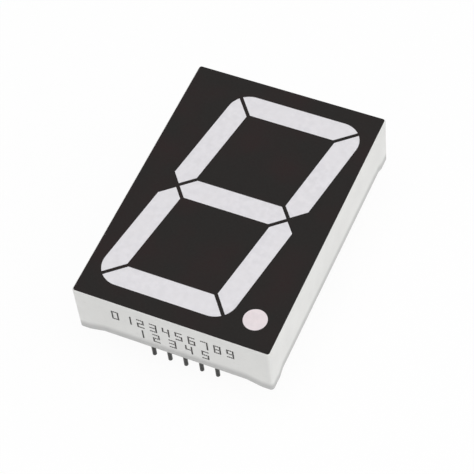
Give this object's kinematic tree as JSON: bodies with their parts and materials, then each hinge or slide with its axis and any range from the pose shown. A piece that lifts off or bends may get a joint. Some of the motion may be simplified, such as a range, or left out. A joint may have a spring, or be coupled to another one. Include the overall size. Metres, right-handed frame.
{
  "type": "seven segment display",
  "caption": "Single-digit LED numeral with a black front, white housing, clouded bar windows, a decimal point and rows of through-hole pins.",
  "frame": {"origin": "middle of the plane that the four corner feet stand on, which is the surface of the host board, centred between the two rows of pins", "axes": "+X to the right of the upright digit, +Y up the digit, +Z out of the front face; the pins point along -Z"},
  "size_m": [0.0304, 0.044, 0.015],
  "materials": {
    "housing_plastic": "white moulded reflector plastic, fine matt",
    "black_mask": "matt black printed front",
    "clouded_resin": "milky diffusing epoxy, satin",
    "board_laminate": "pale glass-fibre laminate",
    "copper": "copper foil",
    "chip_crystal": "sawn semiconductor chip",
    "bond_wire": "bright gold wire",
    "pin_metal": "dull tinned wire",
    "solder": "satin solder",
    "rear_resin": "cast epoxy, slightly cloudy"
  },
  "bodies": {
    "root": {"housing": "housing_plastic", "front_mask": "black_mask", "window_a": "clouded_resin", "window_b": "clouded_resin", "window_c": "clouded_resin", "window_d": "clouded_resin", "window_e": "clouded_resin", "window_f": "clouded_resin", "window_g": "clouded_resin", "window_point": "clouded_resin", "circuit_board": "board_laminate", "upper_copper": "copper", "lower_copper": "copper", "chip_a1": "chip_crystal", "chip_a2": "chip_crystal", "chip_b1": "chip_crystal", "chip_b2": "chip_crystal", "chip_c1": "chip_crystal", "chip_c2": "chip_crystal", "chip_d1": "chip_crystal", "chip_d2": "chip_crystal", "chip_e1": "chip_crystal", "chip_e2": "chip_crystal", "chip_f1": "chip_crystal", "chip_f2": "chip_crystal", "chip_g1": "chip_crystal", "chip_g2": "chip_crystal", "chip_point": "chip_crystal", "bond_wire_a1": "bond_wire", "bond_wire_a2": "bond_wire", "bond_wire_b1": "bond_wire", "bond_wire_b2": "bond_wire", "bond_wire_c1": "bond_wire", "bond_wire_c2": "bond_wire", "bond_wire_d1": "bond_wire", "bond_wire_d2": "bond_wire", "bond_wire_e1": "bond_wire", "bond_wire_e2": "bond_wire", "bond_wire_f1": "bond_wire", "bond_wire_f2": "bond_wire", "bond_wire_g1": "bond_wire", "bond_wire_g2": "bond_wire", "bond_wire_point": "bond_wire", "pin_1": "pin_metal", "pin_2": "pin_metal", "pin_3": "pin_metal", "pin_4": "pin_metal", "pin_5": "pin_metal", "pin_6": "pin_metal", "pin_7": "pin_metal", "pin_8": "pin_metal", "pin_9": "pin_metal", "pin_10": "pin_metal", "solder_row_lower": "solder", "solder_row_upper": "solder", "rear_resin": "rear_resin"}
  },
  "joints": []
}
